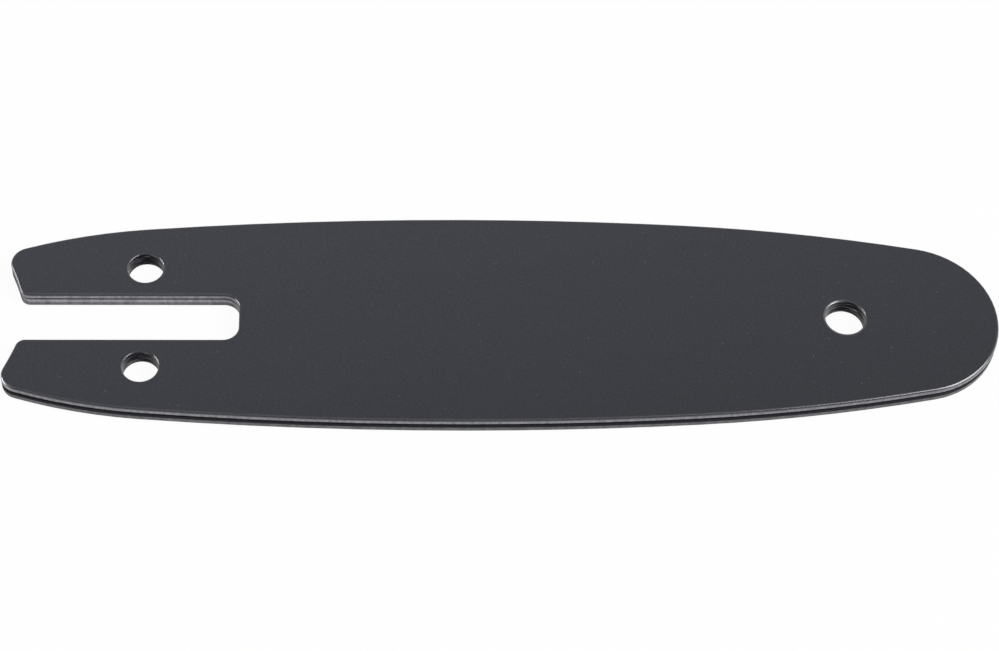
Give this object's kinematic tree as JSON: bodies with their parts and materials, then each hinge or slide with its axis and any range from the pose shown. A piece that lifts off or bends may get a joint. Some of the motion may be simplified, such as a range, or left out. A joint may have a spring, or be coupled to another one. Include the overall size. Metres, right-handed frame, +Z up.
{
  "type": "chainsaw guide bar",
  "caption": "Short laminated guide bar for a mini chainsaw: flat tapered plates with a rounded solid nose, an open adjuster slot, round holes and a chain groove round the rim.",
  "frame": {"origin": "middle of the bar's length and width, on the underside of the lower side plate", "axes": "+X from the slotted tail to the round nose, +Y to the left flank, +Z up through the plates"},
  "size_m": [0.185, 0.0464, 0.0033],
  "materials": {
    "side_coat": "satin anthracite coat on steel, with a fine grain",
    "core_coat": "thin satin anthracite coat on sheared steel"
  },
  "bodies": {
    "root": {"upper_side_plate": "side_coat", "core_plate": "core_coat", "lower_side_plate": "side_coat"}
  },
  "joints": []
}
